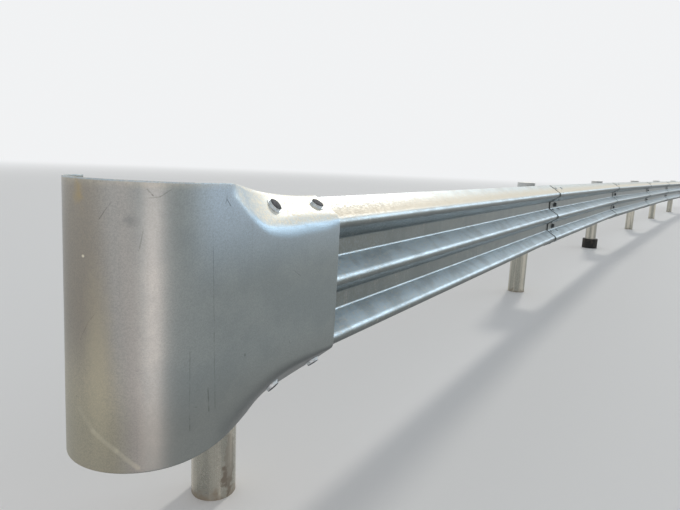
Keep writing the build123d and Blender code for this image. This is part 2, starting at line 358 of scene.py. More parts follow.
terminalFinish = {
    "base": tone(144, 152, 152), "pale": tone(153, 160, 159), "silver": tone(182, 179, 174),
    "tan": tone(162, 153, 140), "straw": tone(214, 205, 176), "low": tone(120, 118, 110),
    "blue": tone(188, 206, 222), "paintedSheen": tone(166, 187, 202), "dull": tone(124, 129, 129),
    "dust": tone(228, 220, 200), "underShade": tone(72, 78, 80), "dark": tone(52, 54, 54),
    "stain": tone(180, 160, 118), "glint": tone(222, 218, 196), "metallic": 0.85, "rough": 0.35,
    "crystalScale": 420.0, "crystalShare": 0.35, "crystalRough": 0.06, "bump": 0.22, "bumpHeight": 0.0004,
    "bendEdge": 0.18, "levelEdge": 0.6, "underShadeShare": 0.85,
    "specks": {"Scale": 60.0, "Size": 0.1, "Share": 0.03}, "speckShare": 0.6,
    "streaks": {"Across": 90.0, "Along": 1.2, "Low": 0.6}, "streakShare": 0.25,
    "silverAcross": (-0.515, -0.545), "tanAcross": (-0.553, -0.578),
    "strawAcross": (-0.535, -0.575), "strawHeights": (0.78, 0.5), "strawShare": 0.8,
    "lowHeights": (0.66, 0.50), "lowShare": 0.35,
    "blueAcross": (-0.46, -0.33), "blueHeights": (0.8, 1.06), "blueShare": 0.8,
    "dustScale": 95.0, "dustThin": 0.45, "dustThick": 0.95, "dustAcross": (-0.19, -0.25), "dustSlopes": (0.62, 1.0),
    "dustMetal": 0.45, "dustRough": 0.22, "rimHeights": (1.06, 1.085), "rimShare": 0.4, "rimSpeckScale": 240.0,
    "wornBelow": 0.005,
}

# scratches and glints: start, end, width, tone, strength; the lines toned glint are a painted highlight; spots:
# centre, size, softness, raggedness, tone, strength
terminalMarks = {
    "scratchesAndGlints": (
        ((-0.3557, -0.346, 0.961), (-0.3456, -0.346, 0.5231), 0.0016, "dark", 0.35),
        ((-0.425, -0.3443, 0.7021), (-0.4281, -0.3438, 0.5008), 0.0016, "dark", 0.3),
        ((-0.4483, -0.3396, 0.5673), (-0.405, -0.3459, 0.5505), 0.0013, "dark", 0.35),
        ((-0.3105, -0.346, 1.0409), (-0.2967, -0.346, 1.0237), 0.0018, "dark", 0.55),
        ((-0.036, -0.346, 0.8297), (-0.001, -0.346, 0.8069), 0.0014, "dark", 0.4),
        ((-0.0446, -0.346, 0.6145), (-0.0497, -0.346, 0.6219), 0.0022, "dark", 0.4),
        ((-0.5838, -0.1695, 0.7249), (-0.5807, -0.1965, 0.7708), 0.0012, "dark", 0.35),
        ((-0.5807, -0.1965, 0.7708), (-0.5719, -0.2276, 0.8061), 0.0012, "dark", 0.35),
        ((-0.5076, -0.3059, 1.0653), (-0.4982, -0.3131, 1.0508), 0.0018, "dark", 0.6),
        ((-0.5048, -0.3084, 1.0465), (-0.4863, -0.3207, 1.0489), 0.0014, "dark", 0.45),
        ((-0.4863, -0.3207, 1.0489), (-0.4656, -0.331, 1.064), 0.0014, "dark", 0.35),
        ((-0.5669, -0.2259, 0.9984), (-0.5548, -0.2506, 1.0355), 0.0014, "dark", 0.4),
        ((-0.5223, -0.2957, 0.9335), (-0.5155, -0.301, 0.9764), 0.0014, "dark", 0.3),
        ((-0.5324, -0.2917, 0.6667), (-0.4686, -0.3336, 0.6573), 0.0014, "dark", 0.25),
        ((-0.3696, -0.346, 0.5863), (-0.3659, -0.346, 0.5256), 0.0022, "dark", 0.5),
        ((-0.4269, -0.346, 0.5287), (-0.427, -0.346, 0.4984), 0.0022, "dark", 0.45),
        ((-0.3074, -0.346, 1.055), (-0.3138, -0.346, 1.0315), 0.0018, "dark", 0.5),
        # glint lines: painted highlight
        ((-0.5882, -0.1632, 0.5641), (-0.5838, -0.2062, 0.5198), 0.010, "glint", 0.12),
        ((-0.5838, -0.2062, 0.5198), (-0.5633, -0.2578, 0.4793), 0.009, "glint", 0.28),
        ((-0.5633, -0.2578, 0.4793), (-0.5344, -0.2949, 0.4372), 0.008, "glint", 0.26),
    ),
    "spots": (
        ((-0.5769, -0.1707, 1.052), (0.02, 0.024, 0.05), 1.0, 1.4, "stain", 0.6),
        ((-0.579, -0.1837, 0.9152), (0.005, 0.005, 0.004), 0.5, 0.2, "dust", 1.0),
        ((-0.5334, -0.2826, 0.9972), (0.025, 0.025, 0.02), 0.9, 0.8, "dull", 0.5),
        # the straw spot is a painted reflection, as the straw band is
        ((-0.5754, -0.2187, 0.685), (0.05, 0.055, 0.27), 1.0, 0.5, "straw", 0.35),
        ((-0.2383, -0.346, 0.6328), (0.004, 0.01, 0.006), 0.6, 0.8, "dark", 0.4),
    ),
}


def markedColour(tree, colour, look, marks):
    for start, end, width, shade, strength in marks["scratchesAndGlints"]:
        worn = 0.25 if width < look["wornBelow"] else 1.0
        line = useGroup(tree, scratchAndGlint, {"Start": start, "End": end, "Width": width, "Worn": worn})
        colour = blend(tree, times(tree, line["Mask"], strength), colour, look[shade])
    for centre, size, softness, ragged, shade, strength in marks["spots"]:
        spot = useGroup(tree, softSpot, {"Centre": centre, "Size": size, "Softness": softness, "Ragged": ragged})
        colour = blend(tree, times(tree, spot["Mask"], strength), colour, look[shade])
    return colour


def terminalMaterial():
    look = terminalFinish
    material, tree, shader = newMaterial("terminalZinc")
    grain = useGroup(tree, zincGrain, {"Crystal Scale": look["crystalScale"]})
    face = useGroup(tree, facing, {"Edge": look["bendEdge"]})
    level = useGroup(tree, facing, {"Edge": look["levelEdge"]})
    dots = useGroup(tree, specks, look["specks"])
    lines = useGroup(tree, streaks, look["streaks"])
    place = objectPlace(tree)
    axes = axesOf(tree, place)
    across, height = axes["X"], axes["Z"]
    colour = blend(tree, remap(tree, grain["Clouds"], 0.38, 0.62), look["base"], look["pale"])
    # silver, tan and straw bands across the curved nose and the bluish upper corner are painted reflections
    colour = blend(tree, remap(tree, across, *look["silverAcross"]), colour, look["silver"])
    colour = blend(tree, remap(tree, across, *look["tanAcross"]), colour, look["tan"])
    glow = times(tree, remap(tree, height, *look["strawHeights"]), remap(tree, across, *look["strawAcross"]))
    colour = blend(tree, times(tree, glow, look["strawShare"]), colour, look["straw"])
    colour = blend(tree, remap(tree, height, *look["lowHeights"], 0.0, look["lowShare"]), colour, look["low"])
    corner = remap(tree, height, *look["blueHeights"], 0.0, look["blueShare"])
    corner = times(tree, corner, remap(tree, across, *look["blueAcross"]))
    colour = blend(tree, corner, colour, look["blue"])
    # up-facing bends turn bluish: painted reflection of the sky
    colour = blend(tree, face["Up"], colour, look["paintedSheen"])
    colour = blend(tree, times(tree, grain["Crystals"], look["crystalShare"]), colour, look["dull"])
    colour = blend(tree, times(tree, lines["Mask"], look["streakShare"]), colour, look["dull"])
    # pale dust on the up-facing flank and the top rim: partly real dust, partly painted highlight
    settled = noise(tree, place, look["dustScale"], 6.0, 0.72)
    settled = remap(tree, settled, 0.42, 0.64, look["dustThin"], look["dustThick"])
    rim = remap(tree, height, *look["rimHeights"], 0.0, look["rimShare"])
    flank = times(tree, level["Up"], remap(tree, across, *look["dustAcross"]))
    flat = calc(tree, "MAXIMUM", flank, remap(tree, level["Up"], *look["dustSlopes"]))
    dustAndHighlight = times(tree, settled, calc(tree, "MAXIMUM", flat, rim))
    colour = blend(tree, dustAndHighlight, colour, look["dust"])
    # down-facing faces are darkened: painted shade
    colour = blend(tree, times(tree, level["Down"], look["underShadeShare"]), colour, look["underShade"])
    rimSpecks = times(tree, remap(tree, noise(tree, place, look["rimSpeckScale"], 3.0), 0.62, 0.7), rim)
    darkSpots = calc(tree, "MAXIMUM", times(tree, dots["Mask"], look["speckShare"]), rimSpecks)
    colour = blend(tree, darkSpots, colour, look["dark"])
    colour = markedColour(tree, colour, look, terminalMarks)
    metal = calc(tree, "SUBTRACT", look["metallic"], times(tree, dustAndHighlight, look["dustMetal"]), clamp=True)
    rough = calc(tree, "ADD", times(tree, grain["Crystals"], look["crystalRough"]), look["rough"])
    rough = calc(tree, "ADD", rough, times(tree, dustAndHighlight, look["dustRough"]))
    relief = calc(tree, "ADD", times(tree, grain["Crystals"], 0.4), grain["Grain"])
    setSockets(tree, shader, {"Base Color": colour, "Metallic": metal, "Roughness": rough,
                              "Normal": bumpNormal(tree, relief, look["bump"], look["bumpHeight"])})
    return material


postFinish = {
    "base": tone(172, 171, 161), "pale": tone(220, 214, 200), "mud": tone(142, 130, 112), "dark": tone(84, 83, 77),
    "stain": tone(104, 90, 74), "metallic": 0.88, "rough": 0.27, "dirtRough": 0.45, "bump": 0.16, "bumpHeight": 0.0008,
    "crystalScale": 160.0, "crystalShare": 0.08, "thinShare": 0.5, "patchShare": 0.75, "sprayShare": 0.2,
    "broadReflectionBands": {"Across": 21.0, "Along": 0.8, "Low": 0.42},
    "thinReflectionLines": {"Across": 75.0, "Along": 1.6, "Low": 0.55},
    "wash": {"Centre": (0.0, -0.075, 0.13), "Size": (0.026, 0.03, 0.14), "Softness": 0.35, "Ragged": 1.6},
    "patch": {"Centre": (-0.02, -0.072, 0.075), "Size": (0.02, 0.022, 0.055), "Softness": 0.5, "Ragged": 2.4},
    "splashRagged": -0.14, "splashHeights": (-0.03, -0.08), "splashShare": 0.8, "sprayHeights": (0.22, 0.02),
}


def postMaterial():
    look = postFinish
    material, tree, shader = newMaterial("postZinc")
    grain = useGroup(tree, zincGrain, {"Crystal Scale": look["crystalScale"]})
    broad = useGroup(tree, streaks, look["broadReflectionBands"])
    thin = useGroup(tree, streaks, look["thinReflectionLines"])
    wash = useGroup(tree, softSpot, look["wash"])
    patch = useGroup(tree, softSpot, look["patch"])
    place = objectPlace(tree)
    height = axesOf(tree, place)["Z"]
    # pale broad bands and thin dark lines down the post are painted reflections
    colour = blend(tree, broad["Mask"], look["base"], look["pale"])
    colour = blend(tree, times(tree, thin["Mask"], look["thinShare"]), colour, look["dark"])
    colour = blend(tree, times(tree, grain["Crystals"], look["crystalShare"]), colour, look["dark"])
    ragged = calc(tree, "ADD", height, times(tree, noise(tree, place, 30.0, 5.0), look["splashRagged"]))
    splash = remap(tree, ragged, *look["splashHeights"], 0.0, look["splashShare"])
    colour = blend(tree, splash, colour, look["mud"])
    spray = remap(tree, noise(tree, place, 120.0, 4.0), 0.56, 0.64)
    spray = times(tree, spray, remap(tree, height, *look["sprayHeights"]))
    colour = blend(tree, times(tree, spray, look["sprayShare"]), colour, look["mud"])
    washed = times(tree, wash["Mask"], remap(tree, grain["Clouds"], 0.4, 0.6, 0.35, 0.7))
    stained = calc(tree, "MAXIMUM", times(tree, patch["Mask"], look["patchShare"]), washed)
    colour = blend(tree, stained, colour, look["stain"])
    dirty = calc(tree, "MAXIMUM", calc(tree, "MAXIMUM", splash, stained), spray)
    metal = calc(tree, "SUBTRACT", look["metallic"], times(tree, dirty, look["metallic"]))
    rough = calc(tree, "ADD", look["rough"], times(tree, dirty, look["dirtRough"]))
    relief = calc(tree, "ADD", grain["Grain"], dirty)
    setSockets(tree, shader, {"Base Color": colour, "Metallic": metal, "Roughness": rough,
                              "Normal": bumpNormal(tree, relief, look["bump"], look["bumpHeight"])})
    return material


plainFinish = {"mottle": tone(96, 100, 102), "dust": tone(205, 199, 186), "dustShare": 0.3, "crystalScale": 240.0}
# the near-white cap colour stands for sunlit zinc: painted highlight
capFinish = {"base": tone(222, 224, 221), "pale": tone(232, 231, 225), "rough": 0.5, "metallic": 0.15,
             "mottleShare": 0.14}
blockFinish = {"base": tone(122, 126, 127), "pale": tone(146, 148, 146), "rough": 0.42, "metallic": 0.8,
               "mottleShare": 0.25}
collarFinish = {"base": tone(26, 26, 24), "mud": tone(74, 66, 56), "smooth": 0.62, "rough": 0.85}


def plainZincMaterial(name, look):
    material, tree, shader = newMaterial(name)
    grain = useGroup(tree, zincGrain, {"Crystal Scale": plainFinish["crystalScale"]})
    face = useGroup(tree, facing, {"Edge": 0.6})
    colour = blend(tree, remap(tree, grain["Clouds"], 0.4, 0.6), look["base"], look["pale"])
    colour = blend(tree, times(tree, grain["Crystals"], look["mottleShare"]), colour, plainFinish["mottle"])
    colour = blend(tree, times(tree, face["Up"], plainFinish["dustShare"]), colour, plainFinish["dust"])
    rough = calc(tree, "ADD", look["rough"], times(tree, grain["Clouds"], 0.1))
    setSockets(tree, shader, {"Base Color": colour, "Metallic": look["metallic"], "Roughness": rough,
                              "Normal": bumpNormal(tree, grain["Grain"], 0.2, 0.0005)})
    return material


def collarMaterial():
    material, tree, shader = newMaterial("collarRubber")
    place = objectPlace(tree)
    patches = noise(tree, place, 18.0, 5.0)
    fine = noise(tree, place, 320.0, 3.0)
    colour = blend(tree, remap(tree, patches, 0.45, 0.7), collarFinish["base"], collarFinish["mud"])
    rough = remap(tree, fine, 0.2, 0.8, collarFinish["smooth"], collarFinish["rough"])
    setSockets(tree, shader, {"Base Color": colour, "Roughness": rough, "Normal": bumpNormal(tree, fine, 0.5, 0.001)})
    return material


def boltMaterial(name, base, spot, metallic, rough):
    material, tree, shader = newMaterial(name)
    place = objectPlace(tree)
    patches = noise(tree, place, 160.0, 4.0)
    colour = blend(tree, remap(tree, patches, 0.45, 0.65), base, spot)
    uneven = remap(tree, patches, 0.3, 0.7, rough, rough + 0.15)
    setSockets(tree, shader, {"Base Color": colour, "Metallic": metallic, "Roughness": uneven,
                              "Normal": bumpNormal(tree, patches, 0.3, 0.0006)})
    return material


railZinc = railMaterial()
terminalZinc = terminalMaterial()
postZinc = postMaterial()
capZinc = plainZincMaterial("capZinc", capFinish)
blockZinc = plainZincMaterial("blockZinc", blockFinish)
collarRubber = collarMaterial()
# terminal bolts: the dark crown is painted shade, the pale washer and head side are a painted highlight
boltCrownShade = boltMaterial("boltCrownShade", tone(30, 34, 42), tone(44, 46, 50), 0.0, 0.62)
boltGrey = boltMaterial("boltGrey", tone(84, 89, 92), tone(108, 110, 108), 0.5, 0.5)
boltZinc = boltMaterial("boltZinc", tone(170, 180, 186), tone(146, 150, 150), 0.85, 0.36)
boltWasherHighlight = boltMaterial("boltWasherHighlight", tone(222, 230, 234), tone(196, 200, 200), 0.5, 0.4)

finishes = {"end_terminal": terminalZinc, "beam": railZinc, "post_cap": capZinc, "post": postZinc,
            "block_out": blockZinc, "foot_collar": collarRubber}
for name, solid in nodes.items():
    finish = next(material for key, material in finishes.items() if name.startswith(key))
    solid.data.materials.clear()
    solid.data.materials.append(finish)
print("materials assigned")


# smooth end terminal, in the place of its solid

terminal = {
    "plate": 0.004, "top": 0.328, "bottom": 0.326, "rise": 0.006, "radius": 0.184, "wrap": 163, "centre": -0.400,
    "lean": 1.3, "end": 0.199, "topStart": -0.300, "topLength": 0.300, "topFoldQuick": 1.6,
    "topEdgeDelay": 1.25, "topQuick": 2.4, "topEdge": 0.278,
    "bottomStart": -0.385, "bottomLength": 0.400, "bottomEdgeStart": -0.150, "bottomQuick": 1.2,
    "bottomEdge": 0.293,
    "topCrease": ((-0.300, 0.292), (-0.277, 0.284), (-0.246, 0.262), (-0.221, 0.243), (-0.188, 0.222),
                  (-0.154, 0.2085), (-0.119, 0.205), (-0.059, 0.208), (0.0, 0.2145), (0.045, 0.217), (0.199, 0.217)),
    "topFrontReach": ((-0.300, 0.010), (-0.277, 0.018), (-0.234, 0.017), (-0.185, 0.018), (-0.151, 0.022),
                      (-0.115, 0.030), (-0.059, 0.040), (0.0, 0.047), (0.063, 0.047), (0.131, 0.042),
                      (0.199, 0.026)),
    "topFlankReach": ((-0.300, 0.004), (-0.221, 0.016), (-0.115, 0.028), (-0.060, 0.038), (0.0, 0.046),
                      (0.131, 0.042), (0.199, 0.026)),
    "bottomCrease": ((-0.385, 0.282), (-0.300, 0.264), (-0.200, 0.240), (-0.100, 0.219), (0.0, 0.210),
                     (0.199, 0.210)),
    "bottomReach": ((-0.385, 0.030), (-0.150, 0.040), (0.0, 0.026), (0.199, 0.012)),
    "dent": 0.0005, "riseSpan": 1.6, "noseSteps": 44, "frontSteps": 84, "bendSteps": 14, "middleSteps": 8,
    "flankSteps": 7, "edgeRound": 0.0012, "edgeAngle": 60, "sharpAngle": 40,
}


def eased(share):
    share = min(max(share, 0), 1)
    return share * share * (3 - 2 * share)


def slowing(share, quickness):
    return 1 - (1 - min(max(share, 0), 1)) ** quickness


def between(first, last, share):
    return first + (last - first) * share


def curveValue(table, place):
    if place <= table[0][0]:
        return table[0][1]
    if place >= table[-1][0]:
        return table[-1][1]
    tangents = []
    for index in range(len(table)):
        before, after = table[max(index - 1, 0)], table[min(index + 1, len(table) - 1)]
        tangents.append((after[1] - before[1]) / (after[0] - before[0]))
    for index in range(len(table) - 1):
        if place <= table[index + 1][0]:
            (low, first), (high, last) = table[index], table[index + 1]
            width = high - low
            share = (place - low) / width
            square, cube = share ** 2, share ** 3
            return (first * (2 * cube - 3 * square + 1) + last * (3 * square - 2 * cube)
                    + width * (tangents[index] * (cube - 2 * square + share) + tangents[index + 1] * (cube - square)))


def bendPoints(corner, before, after, reachBefore, reachAfter, steps):
    start = corner + (before - corner).normalized() * reachBefore
    end = corner + (after - corner).normalized() * reachAfter
    found = []
    for step in range(steps + 1):
        share = step / steps
        found.append(start * (1 - share) ** 2 + corner * 2 * share * (1 - share) + end * share ** 2)
    return found


def halfSection(along, side):
    # points of the plate's middle, as (depth, height), from the rail centre outwards
    setup = terminal
    done = along - setup["topStart"]
    if side > 0:
        rise = setup["rise"] * max(-done, 0) / (setup["topStart"] - setup["centre"] + setup["radius"])
        swing = slowing(done / setup["topLength"], setup["topFoldQuick"])
        share = max(done / (setup["end"] - setup["topStart"]), 0)
        drop = slowing(share ** setup["topEdgeDelay"], setup["topQuick"])
        edgeHeight = between(setup["top"] + rise, setup["topEdge"], drop)
        crease = curveValue(setup["topCrease"], along)
        frontReach = curveValue(setup["topFrontReach"], along)
        flankReach = curveValue(setup["topFlankReach"], along)
    else:
        swing = eased((along - setup["bottomStart"]) / setup["bottomLength"])
        drop = (along - setup["bottomEdgeStart"]) / (setup["end"] - setup["bottomEdgeStart"])
        edgeHeight = between(setup["bottom"], setup["bottomEdge"], slowing(drop, setup["bottomQuick"]))
        crease = curveValue(setup["bottomCrease"], along)
        frontReach = flankReach = curveValue(setup["bottomReach"], along)
    front = setup["plate"] / 2
    edge = Vector((front + edgeDepth * swing, edgeHeight))
    corner = Vector((front, min(crease, edge.y - 0.008)))
    middle = Vector((front, 0))
    flankReach = min(flankReach, 0.45 * (edge - corner).length)
    inner, outer = setup["middleSteps"], setup["flankSteps"]
    bend = bendPoints(corner, middle, edge, frontReach, flankReach, setup["bendSteps"])
    points = [middle.lerp(bend[0], (step / inner) ** 0.8) for step in range(inner)] + bend
    points += [bend[-1].lerp(edge, step / outer) for step in range(1, outer + 1)]
    return [Vector((point.x, side * point.y)) for point in points]


def terminalStations():
    setup = terminal
    # stations over the nose, then along the front
    radius = setup["radius"] - setup["plate"] / 2
    steps = setup["noseSteps"]
    for step in range(steps):
        angle = math.radians(-90 - setup["wrap"] * (1 - step / steps))
        outward = Vector((math.cos(angle), math.sin(angle)))
        across, depth = setup["centre"] + radius * outward.x, setup["radius"] + radius * outward.y
        yield across, depth, outward, setup["centre"] - 0.001
    steps = setup["frontSteps"]
    for step in range(steps + 1):
        along = between(setup["centre"], setup["end"], step / steps)
        yield along, None, Vector((0, -1)), along


def buildTerminal():
    setup = terminal
    lean = math.tan(math.radians(setup["lean"]))
    verts, faces, width = [], [], 0
    for across, depth, outward, along in terminalStations():
        column = halfSection(along, -1)[:0:-1] + halfSection(along, 1)
        width = len(column)
        for point in column:
            x, y = (across, depth) if depth is not None else (across, point.x)
            height = point.y
            if depth is not None:
                share = (setup["centre"] - across) / setup["radius"]
                if height > 0:
                    height *= 1 + setup["rise"] / setup["top"] * share / setup["riseSpan"]
            fade = min(max((setup["topStart"] - across) / (setup["topStart"] - setup["centre"]), 0), 1)
            press = setup["dent"] * (math.sin(across * 23 + height * 9) + math.sin(height * 17 - across * 6 + 1)) / 2
            press = min(press, 0) if depth is not None else press
            verts.append((x + height * lean - outward.x * abs(press) * fade, y + press * (1 - fade), height))
    columns = len(verts) // width
    for column in range(columns - 1):
        for step in range(width - 1):
            first = column * width + step
            faces.append((first, first + width, first + width + 1, first + 1))
    mesh = bpy.data.meshes.new("terminalShell")
    mesh.from_pydata(verts, [], faces)
    mesh.transform(terminalFrame())
    mesh.materials.append(terminalZinc)
    shell = newObject("terminalShell", mesh)
    thick = shell.modifiers.new("thick", "SOLIDIFY")
    thick.thickness = setup["plate"]
    thick.offset = 0
    thick.use_even_offset = True
    edge = shell.modifiers.new("edge", "BEVEL")
    edge.width = setup["edgeRound"]
    edge.segments = 2
    edge.limit_method = "ANGLE"
    edge.angle_limit = math.radians(setup["edgeAngle"])
    return bakePiece(shell, setup["sharpAngle"])


def bakePiece(piece, sharpAngle):
    scene = bpy.context.evaluated_depsgraph_get()
    mesh = bpy.data.meshes.new_from_object(piece.evaluated_get(scene), depsgraph=scene)
    piece.modifiers.clear()
    piece.data = mesh
    mesh.shade_smooth()
    mesh.set_sharp_from_angle(angle=math.radians(sharpAngle))
    return piece


terminalShell = buildTerminal()
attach(terminalShell, "root")
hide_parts("end_terminal")
print("terminal shell,", len(terminalShell.data.polygons), "faces")


# bolts, nuts and washers

lapBolt = {"Washer Radius": 0.0155, "Washer Height": 0.0008, "Head Radius": 0.0145, "Head Height": 0.0045}
lapNut = {"Washer Radius": 0.015, "Washer Height": 0.0025, "Nut Radius": 0.0137, "Nut Height": 0.013,
          "Thread Radius": 0.008, "Thread Length": 0.022}
postBolt = {"Washer Radius": 0.024, "Washer Height": 0.004, "Head Radius": 0.0165, "Head Height": 0.017}
postNut = {"Washer Radius": 0.021, "Washer Height": 0.004, "Nut Radius": 0.0173, "Nut Height": 0.016,
           "Thread Radius": 0.01, "Thread Length": 0.028}
postRearNut = {**postNut, "Nut Height": 0.011, "Thread Length": 0.016}
terminalBolt = {"Washer Radius": 0.0245, "Washer Height": 0.0025, "Head Radius": 0.02, "Head Height": 0.0095}
fastening = {"sharpAngle": 35, "rimShare": 0.75, "intoPost": 0.002, "castFrom": 0.08}


def newGeometryTree(name, setup):
    tree = bpy.data.node_groups.new(name, "GeometryNodeTree")
    tree.is_modifier = True
    tree.interface.new_socket(name="Places", in_out="INPUT", socket_type="NodeSocketGeometry")
    for label, value in setup.items():
        socket = tree.interface.new_socket(name=label, in_out="INPUT", socket_type="NodeSocketFloat")
        socket.default_value = value
    tree.interface.new_socket(name="Material", in_out="INPUT", socket_type="NodeSocketMaterial")
    tree.interface.new_socket(name="Crown Material", in_out="INPUT", socket_type="NodeSocketMaterial")
    tree.interface.new_socket(name="Fasteners", in_out="OUTPUT", socket_type="NodeSocketGeometry")
    return tree, tree.nodes.new("NodeGroupInput").outputs, tree.nodes.new("NodeGroupOutput").inputs


def raised(tree, shape, lift):
    height = addNode(tree, "ShaderNodeCombineXYZ", {"Z": lift}).outputs[0]
    return addNode(tree, "GeometryNodeTransform", {"Geometry": shape, "Translation": height}).outputs[0]


def disc(tree, sides, radius, height, lift):
    shape = addNode(tree, "GeometryNodeMeshCylinder", {"Vertices": sides, "Radius": radius, "Depth": height})
    middle = calc(tree, "ADD", lift, times(tree, height, 0.5))
    return raised(tree, shape.outputs["Mesh"], middle)


def dome(tree, radius, height, lift):
    shape = addNode(tree, "GeometryNodeMeshUVSphere", {"Segments": 20, "Rings": 12, "Radius": 1.0}).outputs["Mesh"]
    size = addNode(tree, "ShaderNodeCombineXYZ", {"X": radius, "Y": radius, "Z": height}).outputs[0]
    flat = addNode(tree, "GeometryNodeTransform", {"Geometry": shape, "Scale": size}).outputs[0]
    return raised(tree, flat, lift)


def finishTree(tree, given, out, shapes, crown, spin, seed):
    joined = addNode(tree, "GeometryNodeJoinGeometry")
    for group, paint in ((shapes, "Material"), (crown, "Crown Material")):
        for shape in group:
            painted = addNode(tree, "GeometryNodeSetMaterial", {"Geometry": shape, "Material": given[paint]})
            tree.links.new(painted.outputs[0], joined.inputs[0])
    turn = addNode(tree, "GeometryNodeInputNamedAttribute", {"Name": "turn"}, data_type="FLOAT_VECTOR")
    turned = addNode(tree, "FunctionNodeEulerToRotation", {0: turn.outputs[0]}).outputs[0]
    spread = addNode(tree, "GeometryNodeInstanceOnPoints",
                     {"Points": given["Places"], "Instance": joined.outputs[0], "Rotation": turned}).outputs[0]
    angle = addNode(tree, "FunctionNodeRandomValue", {2: -spin, 3: spin, "Seed": seed}, data_type="FLOAT").outputs[1]
    about = addNode(tree, "ShaderNodeCombineXYZ", {"Z": angle}).outputs[0]
    spun = addNode(tree, "GeometryNodeRotateInstances", {"Instances": spread, "Rotation": about}).outputs[0]
    real = addNode(tree, "GeometryNodeRealizeInstances", {0: spun}).outputs[0]
    tree.links.new(real, out["Fasteners"])
    return tree


def roundBoltTree():
    tree, given, out = newGeometryTree("roundBolt", lapBolt)
    base = disc(tree, 24, given["Washer Radius"], given["Washer Height"], 0.0)
    rim = times(tree, given["Head Height"], fastening["rimShare"])
    side = disc(tree, 24, given["Head Radius"], rim, given["Washer Height"])
    crown = dome(tree, given["Head Radius"], times(tree, given["Head Height"], 1 - fastening["rimShare"]),
                 calc(tree, "ADD", given["Washer Height"], rim))
    return finishTree(tree, given, out, (base, side), (crown,), spin=3.0, seed=4)


def nutTree():
    tree, given, out = newGeometryTree("hexNut", lapNut)
    base = disc(tree, 24, given["Washer Radius"], given["Washer Height"], 0.0)
    body = disc(tree, 6, given["Nut Radius"], given["Nut Height"], given["Washer Height"])
    thread = disc(tree, 16, given["Thread Radius"], given["Thread Length"], given["Washer Height"])
    return finishTree(tree, given, out, (base, body), (thread,), spin=0.5, seed=11)


def fasteners(name, tree, setup, places, materials):
    # places are pairs of a point and the direction out of the plate
    mesh = bpy.data.meshes.new(name)
    mesh.from_pydata([place for place, outward in places], [], [])
    turns = mesh.attributes.new("turn", "FLOAT_VECTOR", "POINT")
    for index, (place, outward) in enumerate(places):
        turns.data[index].vector = flushTurn(outward)
    piece = newObject(name, mesh)
    modifier = piece.modifiers.new("fasteners", "NODES")
    modifier.node_group = tree
    for socket in tree.interface.items_tree:
        if socket.in_out == "INPUT" and socket.name in setup:
            modifier[socket.identifier] = setup[socket.name]
        elif socket.in_out == "INPUT" and socket.name in materials:
            modifier[socket.identifier] = materials[socket.name]
    bakePiece(piece, fastening["sharpAngle"])
    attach(piece, "root")
    print(name, len(places), "places,", len(piece.data.polygons), "faces")
    return piece


def flushTurn(outward):
    # local Z points outwards and local X lies level, along the row
    up = outward.normalized()
    level = Vector((0, 0, 1)).cross(up).normalized() if abs(up.z) < 0.999 else Vector((1, 0, 0))
    return Matrix((level, up.cross(level), up)).transposed().to_euler()


def flankPlaces(matrix, along, offset, sides=((-1, -1), (-1, 1), (0, -1), (0, 1), (1, -1), (1, 1))):
    # offset goes out of the plate from its middle
    tilt = math.radians(90 - row["flankAngle"])
    found = []
    for crest, side in sides:
        outward = Vector((0, -math.sin(tilt), side * math.cos(tilt)))
        height = crest * row["crestPitch"] + side * row["holeRise"]
        depth = row["holeRise"] * slope - crestOver + row["plate"] / 2
        place = Vector((along, depth, height)) + outward * offset
        found.append((matrix @ place, matrix.to_3x3() @ outward))
    return found


terminalColumns = (row["terminalHole"] - row["lapColumn"], row["terminalHole"] + row["lapColumn"])
terminalSides = ((-1, -1), (1, 1))    # crest and side of the lowest and the highest flank


def lapPlaces():
    heads, nuts = [], []
    half = row["plate"] / 2
    # the terminal's bolts end in nuts behind the first beam
    for column in terminalColumns:
        nuts += [(place, -outward) for place, outward in flankPlaces(panelFrame(0), column, -half, terminalSides)]
    for post in range(1, row["bays"]):
        near = panelFrame(post)
        for column in (-row["lapColumn"], row["lapColumn"]):
            heads += flankPlaces(near, column, half)
            backs = flankPlaces(near, column, -half - row["plate"] - 2 * row["lapGap"])
            nuts += [(place, -outward) for place, outward in backs]
    return heads, nuts


def postPlaces():
    heads, nuts, rears = [], [], []
    for post in range(row["bays"] + 1):
        front = panelFrame(min(post, row["bays"] - 1))
        along = 0 if post < row["bays"] else row["bayLength"]
        outward = front.to_3x3() @ Vector((0, -1, 0))
        behind = panelFrame(max(post - 1, 0))
        place = rowPoint(post, row["setback"])
        across = behind.to_3x3() @ Vector((0, 1, 0))
        gap = (place - behind.translation).dot(across) - row["waveDepth"]
        for side in (-1, 1):
            height = side * row["crestPitch"] / 2
            heads.append((front @ Vector((along, midDepth, height)), outward))
            level = Vector((0, 0, row["railHeight"] + height))
            nuts.append((place + level - across * (gap - row["blockWall"]), across))
            bend = postHeading(post)
            back = Vector((-math.sin(bend), math.cos(bend), 0))
            rears.append((place + level + back * (row["postRadius"] - fastening["intoPost"]), back))
    return heads, nuts, rears


def terminalPlaces():
    shell = BVHTree.FromObject(terminalShell, bpy.context.evaluated_depsgraph_get())
    matrix = terminalFrame()
    found = []
    for column in terminalColumns:
        for place, outward in flankPlaces(matrix, column, 0, terminalSides):
            hit, normal, face, distance = shell.ray_cast(place + outward * fastening["castFrom"], -outward)
            found.append((hit, normal))
    return found


roundBolt = roundBoltTree()
hexNut = nutTree()
lapHeads, lapNuts = lapPlaces()
postHeads, postNuts, postRears = postPlaces()
grey = {"Material": boltGrey, "Crown Material": boltGrey}
